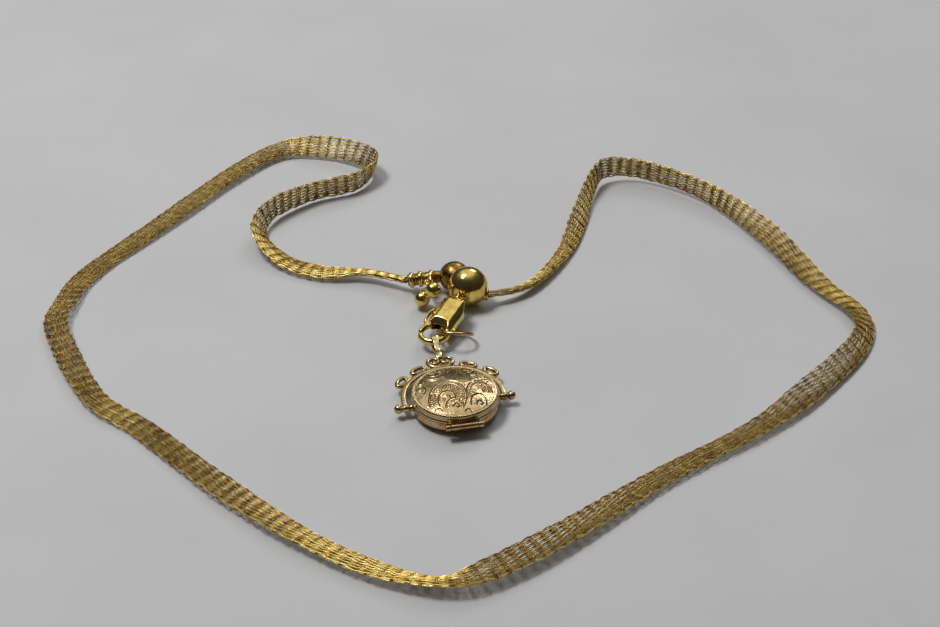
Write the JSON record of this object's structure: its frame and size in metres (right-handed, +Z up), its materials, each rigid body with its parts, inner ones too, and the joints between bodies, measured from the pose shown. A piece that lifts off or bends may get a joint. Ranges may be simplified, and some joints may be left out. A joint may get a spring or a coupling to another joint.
{
  "type": "pendant necklace",
  "caption": "Gold locket pendant in a half-round scrolled swivel bow, on a lobster clasp hung from a looped knitted wire ribbon necklace with a ball join.",
  "frame": {"origin": "centre of the small flat on the locket's back, which lies on the table", "axes": "+Z up, out of the locket's cover; +X along the pivots that the locket spins on; +Y from the locket towards the clasp"},
  "size_m": [0.1275, 0.1249, 0.0064],
  "materials": {
    "knitted_gold_wire": "knitted fine wire",
    "yellow_gold": "polished",
    "rose_gold": "polished, worn",
    "pale_gold": "polished",
    "clear_window": "clear",
    "spring_steel": "bright"
  },
  "bodies": {
    "chain": {"ribbon": "knitted_gold_wire", "left_crimp": "yellow_gold", "crimp_collars": "yellow_gold", "crimp_eye": "yellow_gold", "left_cup": "yellow_gold", "join_ball": "yellow_gold", "join_pin": "yellow_gold", "ball_eye": "yellow_gold", "right_ferrule": "yellow_gold"},
    "charm_ring": {"charm_ring": "yellow_gold"},
    "beads": {"bead_upper": "yellow_gold", "bead_neck": "yellow_gold", "bead_lower": "yellow_gold"},
    "hang_ring": {"hang_ring": "yellow_gold"},
    "clasp": {"clasp_body": "yellow_gold", "clasp_pin": "yellow_gold", "clasp_spring": "spring_steel"},
    "gate": {"clasp_gate": "yellow_gold"},
    "end_ring": {"end_ring": "yellow_gold"},
    "bail": {"bail": "pale_gold"},
    "bow": {"bow_band": "rose_gold", "top_scroll": "rose_gold", "scroll_left_upper": "rose_gold", "scroll_left_lower": "rose_gold", "scroll_right_upper": "rose_gold", "scroll_right_lower": "rose_gold", "pivot_collar_left": "rose_gold", "pivot_collar_right": "rose_gold", "pivot_pin_left": "rose_gold", "pivot_pin_right": "rose_gold"},
    "locket": {"back_case": "rose_gold", "snap_rim": "rose_gold", "back_window": "clear_window", "back_frame": "yellow_gold", "case_knuckles": "rose_gold", "hinge_pin": "rose_gold", "pivot_socket_left": "rose_gold", "pivot_socket_right": "rose_gold"},
    "cover": {"front_cover": "rose_gold", "cover_knuckle": "rose_gold", "cover_window": "clear_window", "cover_frame": "yellow_gold"}
  },
  "joints": [
    {"name": "charm_ring_swing", "type": "hinge", "parent": "chain", "child": "charm_ring", "pos_m": [0.0021, 0.03075, 0.0026], "axis": [-1, 0, 0], "range_deg": [0, 25]},
    {"name": "bead_swing", "type": "hinge", "parent": "charm_ring", "child": "beads", "pos_m": [0.0021, 0.02898, 0.0035], "axis": [-1, 0, 0], "range_deg": [0, 20]},
    {"name": "hang_ring_swing", "type": "hinge", "parent": "chain", "child": "hang_ring", "pos_m": [0.00557, 0.02446, 0.00323], "axis": [-0.8386, 0.5447, 0], "range_deg": [0, 25]},
    {"name": "clasp_swing", "type": "hinge", "parent": "hang_ring", "child": "clasp", "pos_m": [0.00546, 0.02429, 0.00323], "axis": [-0.8386, 0.5447, 0], "range_deg": [0, 40]},
    {"name": "gate_press", "type": "hinge", "parent": "clasp", "child": "gate", "pos_m": [0.0015, 0.02058, 0.0026], "axis": [-0.0857, -0.1097, 0.9903], "range_deg": [0, 14], "stiffness_Nm_per_rad": 0.004, "springref_deg": -11.46},
    {"name": "end_ring_swing", "type": "hinge", "parent": "clasp", "child": "end_ring", "pos_m": [0.00157, 0.01588, 0.00208], "axis": [-0.6097, -0.7803, -0.1392], "range_deg": [0, 50]},
    {"name": "bail_swing", "type": "hinge", "parent": "clasp", "child": "bail", "pos_m": [0, 0.01542, 0.00189], "axis": [-1, 0, 0], "range_deg": [0, 35]},
    {"name": "bow_swing", "type": "hinge", "parent": "bail", "child": "bow", "pos_m": [0, 0.01145, 0.0015], "axis": [-1, 0, 0], "range_deg": [0, 35]},
    {"name": "locket_spin", "type": "hinge", "parent": "bow", "child": "locket", "pos_m": [0, 0, 0.0015], "axis": [1, 0, 0], "continuous": true},
    {"name": "cover_hinge", "type": "hinge", "parent": "locket", "child": "cover", "pos_m": [0, -0.00685, 0.00217], "axis": [-1, 0, 0], "range_deg": [-150, 0]}
  ]
}
